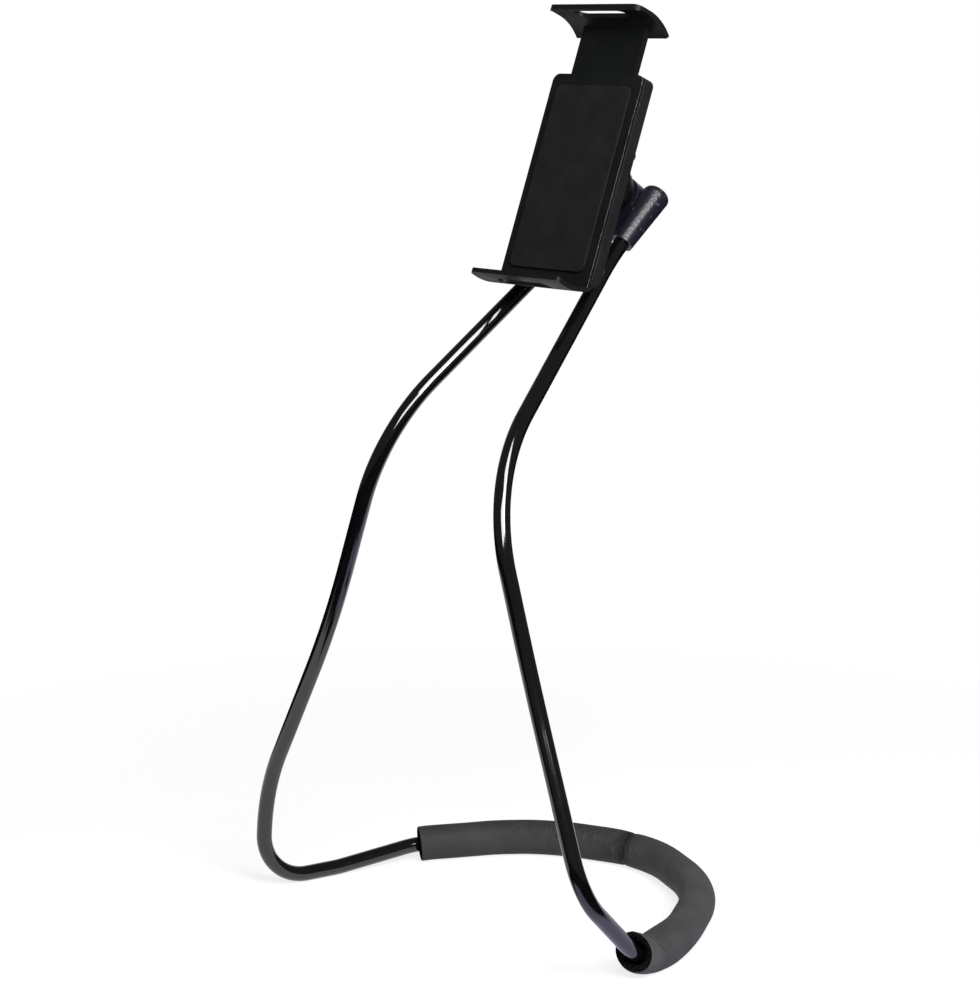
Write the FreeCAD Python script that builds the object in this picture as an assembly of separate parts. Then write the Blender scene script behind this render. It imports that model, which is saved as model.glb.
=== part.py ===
import FreeCAD, Part
import os
from math import acos, cos, pi, radians, sin, sqrt, tan
from FreeCAD import Placement, Rotation, Vector

# Neck phone holder: a bendable rod with a foam neck sleeve, a ball joint and a sprung phone clamp.
# Driving dimensions, in millimetres and degrees.
# The frame has +Z up from the table, X across the clamp and the front of the clamp towards -Y.

# Bendable rod and its foam sleeve
ROD_DIAMETER = 8.0
CORE_DIAMETER = 5.0
FOAM_DIAMETER = 18.6
FOAM_BORE = 10.0
FOAM_PRESSED_IN = 0.3
FOAM_PAST_NEAR_BEND = 4.5
FOAM_SHORT_OF_FAR_BEND = 1.0

# Corners of the rod's centre line and the bend radius at each, from the right socket to the left one
ROD_STRAIGHT_OUT = 10.0
ROD_EXIT_BEND = 80.0
RIGHT_ELBOW = (41.7, -71.6, 235.6)
RIGHT_SHIN = (65.7, -68.8, 148.9)
RIGHT_KNEE = (106.4, -76.0, 54.9)
LEFT_KNEE = (-117.4, -77.3, 54.7)
LEFT_SHIN = (-70.5, -71.6, 149.6)
LEFT_ELBOW = (-35.8, -67.8, 249.3)
RIGHT_ELBOW_BEND = 90.0
LEFT_ELBOW_BEND = 78.0
RIGHT_SHIN_BEND = 350.0
LEFT_SHIN_BEND = 500.0
RIGHT_KNEE_BEND = 32.0
LEFT_KNEE_BEND = 95.0
LOOP_CORNERS = [(97.4, -26.9), (88.2, 14.0), (61.2, 61.9), (0.0, 88.3), (-61.5, 63.7), (-95.1, 7.3)]
LOOP_BENDS = [30.0, 75.0, 85.0, 62.0, 85.0, 60.0]
FOOT_CORNERS = [(-107.6, -37.7), (-117.7, -81.2)]
FOOT_BENDS = [40.0, 24.0]

# Clamp: where its ball axis meets the front plate's face, and how far it leans back
CLAMP_Y = 25.6
CLAMP_Z = 371.7
CLAMP_LEAN = 21.2

# Clamp housing; heights are measured along the clamp from the ball axis, depths back from the plate's face
CLAMP_WIDTH = 60.0
HOUSING_TOP = 48.5
HOUSING_BOTTOM = 59.0
CLAMP_DEPTH = 9.0
PLATE_THICKNESS = 2.0
HOUSING_WALL = 1.6
HOUSING_CORNER = 4.0
HOUSING_HEEL = 6.9
HOUSING_EDGE = 1.2

# Front pad
PAD_THICKNESS = 1.2
PAD_WIDTH = 50.0
PAD_MARGIN = 6.0
PAD_CORNER = 4.0

# Jaws
JAW_THICKNESS = 2.2
UPPER_JAW_CORNER = 4.0
LOWER_JAW_CORNER = 2.6
LOWER_LIP_REACH = 20.6
LOWER_LIP_DROP = 1.4
LOWER_JAW_SAG = 2.6
UPPER_LIP_REACH = 16.5
UPPER_SHELF_HEIGHT = 78.0
UPPER_FLAT_LENGTH = 9.0
UPPER_BEND = 27.0
UPPER_TAIL_OVERHANG = 0.8
UPPER_BEAD = 1.4
WINDOW_WIDTH = 34.0
WINDOW_DEPTH = 8.0
UPPER_WINDOW_SETBACK = 3.6
LOWER_WINDOW_SETBACK = 5.0

# Slide tongue of the upper jaw and its springs
TONGUE_WIDTH = 42.0
TONGUE_THICKNESS = 3.0
TONGUE_BOTTOM = 16.0
TONGUE_LEG_WIDTH = 12.0
TONGUE_BRIDGE_BOTTOM = 30.0
TONGUE_CORNER = 1.5
SLIDE_CLEARANCE = 0.3
JAW_TRAVEL_UP = 45.0
STOP_LUG_WIDTH = 6.0
STOP_LUG_DEPTH = 1.6
STOP_LUG_HEIGHT = 3.0
SPRING_DIAMETER = 4.0
SPRING_WIRE = 0.7
SPRING_TURNS = 8
SPRING_POINTS = 12
SPRING_SPACING = 30.0
SPRING_POST_DIAMETER = 1.4
SPRING_POST_DROP = 52.0
SPRING_LOOP_CLEARANCE = 0.1
SPRING_NOTCH_WIDTH = 3.6

# Housing screws
SCREW_INSET = 4.0
SCREW_HEIGHTS = (11.0, -47.0)
SCREW_DIAMETER = 2.4
SCREW_HEAD_DIAMETER = 5.0
SCREW_HEAD_HEIGHT = 2.2
SCREW_BOSS_DIAMETER = 4.4
SCREW_CLEARANCE = 0.15

# Ball joint on the back of the housing
BALL_DIAMETER = 17.0
BALL_DEPTH = 26.0
BALL_CLEARANCE = 0.2
CUP_WALL = 1.2
CUP_SHORT_OF_EQUATOR = 1.0
COLLET_WALL = 1.9
COLLET_PAST_EQUATOR = 1.5
COLLET_SLOT_WIDTH = 1.6
COLLET_SLOTS = 4
PEDESTAL_DIAMETER = 31.0
PEDESTAL_TOP_DIAMETER = 27.0
NUT_START = 15.0
NUT_THREAD_CLEARANCE = 0.08
NUT_WALL = 2.6
NUT_REACH = 8.0
NUT_REAR_DIAMETER = 21.0
NUT_MOUTH_DIAMETER = 18.2
NUT_FLUTES = 12
NUT_FLUTE_DIAMETER = 3.2
NUT_FLUTE_DEPTH = 0.7
RING_REACH = 4.4
RING_WALL = 2.0

# Twin socket yoke
STEM_DIAMETER = 7.6
HUB_START = 13.0
HUB_LENGTH = 13.0
HUB_FRONT_DIAMETER = 18.0
HUB_REAR_DIAMETER = 14.0
SOCKET_HALF_SPACING = 16.0
SOCKET_MOUTH_DEPTH = 32.9
SOCKET_MOUTH_DROP = 24.4
SOCKET_SPLAY = 3.6
SOCKET_FORWARD = 25.4
SOCKET_LENGTH = 34.5
SOCKET_BORE_LENGTH = 25.0
SOCKET_MOUTH_DIAMETER = 11.4
SOCKET_END_DIAMETER = 14.4
SOCKET_END_ROUNDING = 3.5
SOCKET_CLEARANCE = 0.1
YOKE_ROLL = 7.0
WEB_THICKNESS = 6.0
WEB_START = 2.0
WEB_END = 30.0
WEB_ARCH_DIAMETER = 10.0

# Worked out from the driving dimensions
ROD_RADIUS = ROD_DIAMETER / 2
FOAM_RADIUS = FOAM_DIAMETER / 2
LOOP_HEIGHT = FOAM_RADIUS - FOAM_PRESSED_IN
BALL_RADIUS = BALL_DIAMETER / 2
SPRING_LOOP = (SPRING_POST_DIAMETER + SPRING_WIRE) / 2 + SPRING_LOOP_CLEARANCE
CUP_INNER = BALL_RADIUS + BALL_CLEARANCE
CUP_OUTER = CUP_INNER + CUP_WALL
COLLET_BORE = CUP_OUTER + BALL_CLEARANCE
COLLET_RADIUS = COLLET_BORE + COLLET_WALL
CLAMP_PLACE = Placement(Vector(0, CLAMP_Y, CLAMP_Z), Rotation(Vector(1, 0, 0), -CLAMP_LEAN))
CUT_PAST = 1.0
NEARLY = 0.01
ACROSS = Vector(1, 0, 0)
BACKWARDS = Vector(0, 1, 0)
ALONG = Vector(0, 0, 1)

# Plane of the two sockets in the clamp's own frame: its origin midway between their mouths, Z up the sockets
SOCKET_TURN = Rotation(BACKWARDS, YOKE_ROLL).multiply(Rotation(ACROSS, -SOCKET_FORWARD))
SOCKET_MIDDLE = Rotation(BACKWARDS, YOKE_ROLL).multVec(Vector(0, SOCKET_MOUTH_DEPTH, -SOCKET_MOUTH_DROP))
SOCKET_PLACE = Placement(SOCKET_MIDDLE, SOCKET_TURN)


def clamp_point(x, depth, height):
    """A point of the clamp's own frame, in the part's frame."""
    return CLAMP_PLACE.multVec(Vector(x, depth, height))


def in_clamp(shape):
    """Move a shape from the clamp's own frame to the part's frame."""
    moved = shape.copy()
    moved.Placement = CLAMP_PLACE.multiply(moved.Placement)
    return moved


def box(x0, x1, y0, y1, z0, z1):
    return Part.makeBox(x1 - x0, y1 - y0, z1 - z0, Vector(x0, y0, z0))


def cylinder(diameter, length, start, direction):
    return Part.makeCylinder(diameter / 2, length, start, direction)


def lines(*corners):
    """Straight edges through (radius, depth) corners beside the ball axis."""
    points = [Vector(radius, depth, 0) for radius, depth in corners]
    return [Part.LineSegment(first, last).toShape() for first, last in zip(points, points[1:])]


def on_sphere(radius, beyond):
    """The (radius, depth) corner where a sphere about the ball's centre is cut, beyond that centre."""
    return sqrt(radius ** 2 - beyond ** 2), BALL_DEPTH + beyond


def sphere_arc(radius, first, last):
    """Arc of such a sphere's outline between two cuts."""
    corners = [on_sphere(radius, beyond) for beyond in (first, (first + last) / 2, last)]
    return [Part.Arc(*[Vector(out, depth, 0) for out, depth in corners]).toShape()]


def turned(edges):
    """Solid of revolution about the ball axis, from a closed outline."""
    face = Part.Face(Part.Wire(Part.__sortEdges__(edges)))
    return face.revolve(Vector(0, 0, 0), BACKWARDS, 360)


def turned_block(*corners):
    return turned(lines(*corners, corners[0]))


def rounded_block(width, y0, y1, z0, z1, corner):
    """Block across the clamp whose four corners, seen from the front, are rounded."""
    block = box(-width / 2, width / 2, y0, y1, z0, z1)
    edges = [edge for edge in block.Edges if abs(edge.tangentAt(0).dot(BACKWARDS)) > 1 - NEARLY]
    return block.makeFillet(corner, edges)


def slot(width, depth, centre_depth, z0, z1):
    """Upright cutter with a long hole's outline, round at both ends."""
    half = width / 2 - depth / 2
    middle = box(-half, half, centre_depth - depth / 2, centre_depth + depth / 2, z0, z1)
    ends = [cylinder(depth, z1 - z0, Vector(side * half, centre_depth, z0), ALONG) for side in (-1, 1)]
    return middle.fuse(ends)


def rounded_route(corners, bends):
    """Edges of a route of straight runs and tangent arcs, and the length at the middle of each bend."""
    edges = []
    marks = []
    length = 0.0
    here = corners[0]
    for before, corner, after, bend in zip(corners, corners[1:], corners[2:], bends):
        back = (before - corner).normalize()
        on = (after - corner).normalize()
        turn = pi - acos(back.dot(on))
        tangent = bend * tan(turn / 2)
        start = corner + back * tangent
        end = corner + on * tangent
        middle = corner + (back + on).normalize() * (bend / cos(turn / 2) - bend)
        edges.append(Part.LineSegment(here, start).toShape())
        edges.append(Part.Arc(start, middle, end).toShape())
        marks.append(length + edges[-2].Length + edges[-1].Length / 2)
        length += edges[-2].Length + edges[-1].Length
        here = end
    edges.append(Part.LineSegment(here, corners[-1]).toShape())
    return edges, marks


def stretch(edges, first, last):
    """The edges of a route from one length along it to another."""
    cut = []
    done = 0.0
    for edge in edges:
        low = max(first - done, 0.0)
        high = min(last - done, edge.Length)
        if high - low > NEARLY:
            ends = [edge.getParameterByLength(low), edge.getParameterByLength(high)]
            cut.append(Part.Edge(edge.Curve, *ends))
        done += edge.Length
    return cut


def disc(diameter, centre, normal):
    return Part.Face(Part.Wire(Part.makeCircle(diameter / 2, centre, normal)))


def swept(edges, diameter, bore=None):
    """Rod along a route, or a tube where a bore is given."""
    path = Part.Wire(edges)
    first = path.Edges[0]
    start = first.valueAt(first.FirstParameter)
    heading = first.tangentAt(first.FirstParameter)
    section = disc(diameter, start, heading)
    if bore:
        section = section.cut(disc(bore, start, heading)).Faces[0]
    return path.makePipe(section)


# Sockets: each one's mouth and the way its rod leaves it, in the clamp's own frame

def socket_mouth(side):
    return SOCKET_PLACE.multVec(Vector(side * SOCKET_HALF_SPACING, 0, 0))


def socket_heading(side):
    splay = radians(SOCKET_SPLAY)
    return SOCKET_TURN.multVec(Vector(side * sin(splay), 0, -cos(splay)))


def rod_route():
    """Centre line of the whole rod, from the floor of one socket to the floor of the other."""
    ends = {}
    for side in (1, -1):
        floor = socket_mouth(side) - socket_heading(side) * SOCKET_BORE_LENGTH
        out = socket_mouth(side) + socket_heading(side) * ROD_STRAIGHT_OUT
        ends[side] = [clamp_point(*floor), clamp_point(*out)]
    loop = [Vector(x, y, LOOP_HEIGHT) for x, y in LOOP_CORNERS]
    foot = [Vector(x, y, ROD_RADIUS) for x, y in FOOT_CORNERS]
    right = [Vector(*point) for point in (RIGHT_ELBOW, RIGHT_SHIN, RIGHT_KNEE)]
    left = [Vector(*point) for point in (LEFT_KNEE, LEFT_SHIN, LEFT_ELBOW)]
    corners = ends[1] + right + loop + foot + left + ends[-1][::-1]
    bends = [ROD_EXIT_BEND, RIGHT_ELBOW_BEND, RIGHT_SHIN_BEND, RIGHT_KNEE_BEND] + LOOP_BENDS + FOOT_BENDS
    bends += [LEFT_KNEE_BEND, LEFT_SHIN_BEND, LEFT_ELBOW_BEND, ROD_EXIT_BEND]
    return rounded_route(corners, bends)


def foam_sleeve(edges, marks):
    """Foam tube on the loop, pressed a little flat where it lies on the table."""
    near_bend = marks[4]
    far_bend = marks[4 + len(LOOP_CORNERS) - 1]
    covered = stretch(edges, near_bend - FOAM_PAST_NEAR_BEND, far_bend - FOAM_SHORT_OF_FAR_BEND)
    foam = swept(covered, FOAM_DIAMETER, FOAM_BORE)
    bounds = foam.BoundBox
    sides = [bounds.XMin - FOAM_DIAMETER, bounds.XMax + FOAM_DIAMETER]
    ends = [bounds.YMin - FOAM_DIAMETER, bounds.YMax + FOAM_DIAMETER]
    return foam.common(box(*sides, *ends, 0, bounds.ZMax + FOAM_DIAMETER))


# Ball joint

def ball_seat_cup():
    """Friction cup between the ball and the floor of the housing's socket."""
    rim = -CUP_SHORT_OF_EQUATOR
    edges = sphere_arc(CUP_OUTER, -CUP_OUTER, rim) + sphere_arc(CUP_INNER, -CUP_INNER, rim)
    edges += lines(on_sphere(CUP_OUTER, rim), on_sphere(CUP_INNER, rim))
    edges += lines(on_sphere(CUP_INNER, -CUP_INNER), on_sphere(CUP_OUTER, -CUP_OUTER))
    return turned(edges)


def seat_ring():
    """Friction ring that the nut presses on the back of the ball."""
    start = COLLET_PAST_EQUATOR + BALL_CLEARANCE
    inner_front = on_sphere(CUP_INNER, start)
    inner_rear = on_sphere(CUP_INNER, RING_REACH)
    outer_front = (COLLET_RADIUS - BALL_CLEARANCE, inner_front[1])
    outer_rear = (inner_rear[0] + RING_WALL, inner_rear[1])
    edges = lines(inner_front, outer_front, outer_rear, inner_rear)
    return turned(edges + sphere_arc(CUP_INNER, start, RING_REACH))


def lock_nut():
    """Conical nut with a fluted grip, over the collet and the seat ring."""
    bore = COLLET_RADIUS + NUT_THREAD_CLEARANCE
    grip = bore + NUT_WALL
    rear = BALL_DEPTH + NUT_REACH
    rear_radius = NUT_REAR_DIAMETER / 2
    skin = [(0, NUT_START), (grip, NUT_START), (grip, BALL_DEPTH), (rear_radius, rear), (0, rear)]
    shoulder = BALL_DEPTH + COLLET_PAST_EQUATOR + BALL_CLEARANCE
    throat, ring_rear = on_sphere(CUP_INNER, RING_REACH)
    ring_end = ring_rear + BALL_CLEARANCE
    seat = [(bore, shoulder), (throat + RING_WALL + BALL_CLEARANCE, ring_end), (throat, ring_end)]
    entry = [(0, NUT_START - CUT_PAST), (bore, NUT_START - CUT_PAST)]
    mouth = NUT_MOUTH_DIAMETER / 2
    way_out = [(mouth, rear), (mouth, rear + CUT_PAST), (0, rear + CUT_PAST)]
    nut = turned_block(*skin).cut(turned_block(*entry, *seat, *way_out))
    centre = grip + NUT_FLUTE_DIAMETER / 2 - NUT_FLUTE_DEPTH
    flute = cylinder(NUT_FLUTE_DIAMETER, rear - NUT_START, Vector(centre, NUT_START, 0), BACKWARDS)
    flutes = []
    for number in range(NUT_FLUTES):
        turned_flute = flute.copy()
        turned_flute.rotate(Vector(0, 0, 0), BACKWARDS, 360.0 * number / NUT_FLUTES)
        flutes.append(turned_flute)
    return nut.cut(flutes)


def socket_shape(side):
    """Tapered socket with a rounded closed end, and its bore."""
    mouth = socket_mouth(side)
    inwards = socket_heading(side) * -1
    radii = [SOCKET_MOUTH_DIAMETER / 2, SOCKET_END_DIAMETER / 2]
    body = Part.makeCone(*radii, SOCKET_LENGTH, mouth, inwards)
    end = mouth + inwards * SOCKET_LENGTH
    end_edges = [edge for edge in body.Edges if edge.Closed and (edge.CenterOfMass - end).Length < NEARLY]
    bore = cylinder(ROD_DIAMETER + 2 * SOCKET_CLEARANCE, SOCKET_BORE_LENGTH, mouth, inwards)
    return body.makeFillet(SOCKET_END_ROUNDING, end_edges), bore


def yoke_web():
    """Plate that joins the two sockets, arched at its lower edge."""
    half = SOCKET_HALF_SPACING - SOCKET_MOUTH_DIAMETER / 4
    front = -WEB_THICKNESS / 2
    web = box(-half, half, front, -front, WEB_START, WEB_END)
    arch_start = Vector(0, front - CUT_PAST, WEB_START)
    web = web.cut(cylinder(WEB_ARCH_DIAMETER, WEB_THICKNESS + 2 * CUT_PAST, arch_start, BACKWARDS))
    web.Placement = SOCKET_PLACE.multiply(web.Placement)
    return web


def yoke():
    """One moulding: the ball on its stem, the hub, the web and the two sockets."""
    ball = Part.makeSphere(BALL_RADIUS, Vector(0, BALL_DEPTH, 0))
    hub_front = Vector(0, BALL_DEPTH + HUB_START, 0)
    stem = cylinder(STEM_DIAMETER, HUB_START + HUB_LENGTH / 2, Vector(0, BALL_DEPTH, 0), BACKWARDS)
    hub = Part.makeCone(HUB_FRONT_DIAMETER / 2, HUB_REAR_DIAMETER / 2, HUB_LENGTH, hub_front, BACKWARDS)
    sockets = [socket_shape(side) for side in (1, -1)]
    body = ball.fuse([stem, hub, yoke_web()] + [outside for outside, bore in sockets])
    return body.cut([bore for outside, bore in sockets]).removeSplitter()


# Clamp

def housing_blank(inset, front):
    """Outer form of the rear housing, or its hollow when inset by the wall, with the sloping heel."""
    half = CLAMP_WIDTH / 2 - inset
    top = HOUSING_TOP - inset
    slope = HOUSING_HEEL / (CLAMP_DEPTH - PLATE_THICKNESS)
    corners = []
    for depth in (front, CLAMP_DEPTH - inset):
        bottom = -HOUSING_BOTTOM + inset + slope * (depth - PLATE_THICKNESS)
        corners += [Vector(-half, depth, bottom), Vector(-half, depth, top)]
    corners = [corners[0], corners[1], corners[3], corners[2], corners[0]]
    return Part.Face(Part.makePolygon(corners)).extrude(ACROSS * (2 * half))


def screw_places():
    reach = CLAMP_WIDTH / 2 - SCREW_INSET
    return [(side * reach, height) for side in (-1, 1) for height in SCREW_HEIGHTS]


def spring_x(side):
    return side * SPRING_SPACING / 2


def tongue_depths():
    front = PLATE_THICKNESS + SLIDE_CLEARANCE
    return front, front + TONGUE_THICKNESS


def slide_guides():
    """Rails beside the tongue and runners behind it, on the housing's floor."""
    floor = CLAMP_DEPTH - HOUSING_WALL
    front, back = tongue_depths()
    guide = TONGUE_WIDTH / 2 + SLIDE_CLEARANCE
    bottom = -HOUSING_BOTTOM + HOUSING_HEEL + HOUSING_WALL
    top = HOUSING_TOP - HOUSING_WALL
    guides = []
    for side in (-1, 1):
        inner, edge, outer = (side * (guide + step) for step in (-HOUSING_WALL, 0, HOUSING_WALL))
        guides.append(box(*sorted((edge, outer)), PLATE_THICKNESS, floor, bottom, top))
        guides.append(box(*sorted((inner, edge)), back + SLIDE_CLEARANCE, floor, bottom, top))
    return guides


def spring_posts():
    floor = CLAMP_DEPTH - HOUSING_WALL
    front, back = tongue_depths()
    starts = [Vector(spring_x(side), front, -SPRING_POST_DROP) for side in (-1, 1)]
    return [cylinder(SPRING_POST_DIAMETER, floor - front, start, BACKWARDS) for start in starts]


def ball_socket():
    """Pedestal and slotted collet on the housing's back, and the cutters that hollow them."""
    floor = CLAMP_DEPTH - HOUSING_WALL
    step = NUT_START - SLIDE_CLEARANCE
    end = BALL_DEPTH + COLLET_PAST_EQUATOR
    foot = PEDESTAL_DIAMETER / 2
    pedestal = [(0, floor), (foot, floor), (foot, CLAMP_DEPTH), (PEDESTAL_TOP_DIAMETER / 2, step)]
    outside = turned_block(*pedestal, (COLLET_RADIUS, step), (COLLET_RADIUS, end), (0, end))
    bowl = sphere_arc(COLLET_BORE, -COLLET_BORE, 0)
    way_out = [(COLLET_BORE, BALL_DEPTH), (COLLET_BORE, end + CUT_PAST), (0, end + CUT_PAST)]
    cutters = [turned(bowl + lines(*way_out, on_sphere(COLLET_BORE, -COLLET_BORE)))]
    reach = COLLET_RADIUS + CUT_PAST
    half = COLLET_SLOT_WIDTH / 2
    for number in range(COLLET_SLOTS // 2):
        saw = box(-reach, reach, BALL_DEPTH - COLLET_BORE / 2, end + CUT_PAST, -half, half)
        saw.rotate(Vector(0, 0, 0), BACKWARDS, 360.0 * number / COLLET_SLOTS)
        cutters.append(saw)
    return outside, cutters


def rear_housing():
    """Box shell that is open at the front, with the slide's guides, the spring posts and the ball socket."""
    outline = rounded_block(CLAMP_WIDTH, 0, CLAMP_DEPTH, -HOUSING_BOTTOM, HOUSING_TOP, HOUSING_CORNER)
    shell = housing_blank(0, PLATE_THICKNESS).common(outline)
    back_edges = [e for e in shell.Edges if min(v.Point.y for v in e.Vertexes) > CLAMP_DEPTH - NEARLY]
    shell = shell.makeFillet(HOUSING_EDGE, back_edges)
    shell = shell.cut(housing_blank(HOUSING_WALL, PLATE_THICKNESS - CUT_PAST))
    front, back = tongue_depths()
    guide = TONGUE_WIDTH / 2 + SLIDE_CLEARANCE
    depths = [PLATE_THICKNESS - CUT_PAST, back + SLIDE_CLEARANCE]
    mouth = box(-guide, guide, *depths, HOUSING_TOP - HOUSING_WALL, HOUSING_TOP + CUT_PAST)
    socket, cutters = ball_socket()
    shell = shell.cut(mouth).fuse(slide_guides() + spring_posts() + [socket])
    hole = SCREW_DIAMETER + 2 * SCREW_CLEARANCE
    for x, height in screw_places():
        cutters.append(cylinder(hole, CLAMP_DEPTH, Vector(x, PLATE_THICKNESS, height), BACKWARDS))
    return shell.cut(cutters).removeSplitter()


def jaw_sheet(outer_edges, inner_edges):
    """Sheet with a jaw's end profile, across the whole clamp."""
    profile = Part.Face(Part.Wire(Part.__sortEdges__(outer_edges + inner_edges)))
    sheet = profile.extrude(ACROSS * CLAMP_WIDTH)
    sheet.translate(ACROSS * (-CLAMP_WIDTH / 2))
    return sheet


def jaw_outline(front, back, z0, z1, corner):
    """Upright block with the jaw's plan: rounded corners at its front edge."""
    block = box(-CLAMP_WIDTH / 2, CLAMP_WIDTH / 2, front, back, z0, z1)
    upright = [edge for edge in block.Edges if abs(edge.tangentAt(0).dot(ALONG)) > 1 - NEARLY]
    return block.makeFillet(corner, [edge for edge in upright if edge.CenterOfMass.y < front + NEARLY])


def side_point(depth, height):
    return Vector(0, depth, height)


def lower_jaw():
    """Shallow trough under the phone, sagging between the plate and the lip."""
    centre_depth = (PLATE_THICKNESS - LOWER_LIP_REACH) / 2
    outer = [side_point(PLATE_THICKNESS, -HOUSING_BOTTOM)]
    outer.append(side_point(centre_depth, -HOUSING_BOTTOM - LOWER_JAW_SAG))
    outer.append(side_point(-LOWER_LIP_REACH, -HOUSING_BOTTOM - LOWER_LIP_DROP))
    inner = [point + ALONG * JAW_THICKNESS for point in outer]
    edges = [Part.Arc(*outer).toShape(), Part.Arc(*inner).toShape()]
    ends = [Part.LineSegment(outer[i], inner[i]).toShape() for i in (0, 2)]
    sheet = jaw_sheet(edges, ends)
    low = -HOUSING_BOTTOM - 2 * LOWER_JAW_SAG
    high = -HOUSING_BOTTOM + 2 * JAW_THICKNESS
    sheet = sheet.common(jaw_outline(-LOWER_LIP_REACH, PLATE_THICKNESS, low, high, LOWER_JAW_CORNER))
    window = -LOWER_LIP_REACH + LOWER_WINDOW_SETBACK + WINDOW_DEPTH / 2
    return sheet.cut(slot(WINDOW_WIDTH, WINDOW_DEPTH, window, low, high))


def front_plate():
    """Front plate with its screw bosses and the lower jaw, one moulding."""
    plate = rounded_block(CLAMP_WIDTH, 0, PLATE_THICKNESS, -HOUSING_BOTTOM, HOUSING_TOP, HOUSING_CORNER)
    square = box(-CLAMP_WIDTH / 2, CLAMP_WIDTH / 2, 0, PLATE_THICKNESS, -HOUSING_BOTTOM, 0)
    floor = CLAMP_DEPTH - HOUSING_WALL
    bosses = []
    pilots = []
    for x, height in screw_places():
        start = Vector(x, PLATE_THICKNESS, height)
        bosses.append(cylinder(SCREW_BOSS_DIAMETER, floor - PLATE_THICKNESS, start, BACKWARDS))
        pilots.append(cylinder(SCREW_DIAMETER, floor - PLATE_THICKNESS, start, BACKWARDS))
    return plate.fuse([square, lower_jaw()] + bosses).cut(pilots).removeSplitter()


def upper_jaw():
    """Curved shelf with a bead at its lip, a pull edge at the back, and the slide tongue."""
    top = UPPER_SHELF_HEIGHT
    front = -UPPER_LIP_REACH
    flat_end = front + UPPER_FLAT_LENGTH
    back = CLAMP_DEPTH + UPPER_TAIL_OVERHANG
    middle = (flat_end + back) / 2

    def arc_point(depth, radius):
        run = (depth - flat_end) * radius / UPPER_BEND
        return side_point(flat_end + run, top - UPPER_BEND + sqrt(radius ** 2 - run ** 2))

    edges = []
    for radius in (UPPER_BEND, UPPER_BEND - JAW_THICKNESS):
        level = top - UPPER_BEND + radius
        edges.append(Part.LineSegment(side_point(front, level), side_point(flat_end, level)).toShape())
        edges.append(Part.Arc(*[arc_point(depth, radius) for depth in (flat_end, middle, back)]).toShape())
    ends = [Part.LineSegment(side_point(front, top), side_point(front, top - JAW_THICKNESS)).toShape()]
    tips = [arc_point(back, radius) for radius in (UPPER_BEND, UPPER_BEND - JAW_THICKNESS)]
    ends.append(Part.LineSegment(*tips).toShape())
    shelf = jaw_sheet(edges, ends)
    bead_start = Vector(-CLAMP_WIDTH / 2, front + UPPER_BEAD, top - UPPER_BEAD)
    bead = cylinder(2 * UPPER_BEAD, CLAMP_WIDTH, bead_start, ACROSS)
    shelf = shelf.fuse(bead).common(jaw_outline(front, back, 0, top, UPPER_JAW_CORNER))
    window = front + UPPER_WINDOW_SETBACK + WINDOW_DEPTH / 2
    shelf = shelf.cut(slot(WINDOW_WIDTH, WINDOW_DEPTH, window, top - UPPER_BEND, top + CUT_PAST))
    return shelf.fuse(slide_tongue(shelf_roof(top, flat_end, back), top)).removeSplitter()


def shelf_roof(top, flat_end, back):
    """Everything below the middle of the shelf's sheet, to trim the tongue's upper end."""
    radius = UPPER_BEND - JAW_THICKNESS / 2
    centre = Vector(-CLAMP_WIDTH / 2, flat_end, top - UPPER_BEND)
    under = box(-CLAMP_WIDTH / 2, CLAMP_WIDTH / 2, flat_end, back, -HOUSING_BOTTOM, top - UPPER_BEND)
    return cylinder(2 * radius, CLAMP_WIDTH, centre, ACROSS).fuse(under)


def spring_bar_height():
    return -TONGUE_BOTTOM + SPRING_LOOP + SPRING_WIRE / 2


def slide_tongue(roof, top):
    """Two-legged tongue that runs in the housing, with a spring bar in each leg and lugs that stop it."""
    front, back = tongue_depths()
    half = TONGUE_WIDTH / 2
    tongue = rounded_block(TONGUE_WIDTH, front, back, -TONGUE_BOTTOM, top, TONGUE_CORNER)
    gap = half - TONGUE_LEG_WIDTH
    cutters = [box(-gap, gap, front, back, -TONGUE_BOTTOM, TONGUE_BRIDGE_BOTTOM)]
    stop = HOUSING_TOP - HOUSING_WALL - JAW_TRAVEL_UP - SLIDE_CLEARANCE
    notch = SPRING_NOTCH_WIDTH / 2
    notch_top = spring_bar_height() + SPRING_LOOP + SPRING_WIRE
    additions = []
    for side in (-1, 1):
        x = spring_x(side)
        cutters.append(box(x - notch, x + notch, front, back, -TONGUE_BOTTOM, notch_top))
        bar = Vector(x - SPRING_NOTCH_WIDTH, (front + back) / 2, spring_bar_height())
        additions.append(cylinder(SPRING_POST_DIAMETER, 2 * SPRING_NOTCH_WIDTH, bar, ACROSS))
        lug = [x - STOP_LUG_WIDTH / 2, x + STOP_LUG_WIDTH / 2]
        additions.append(box(*lug, back, back + STOP_LUG_DEPTH, stop - STOP_LUG_HEIGHT, stop))
    return tongue.common(roof).cut(cutters).fuse(additions)


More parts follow.
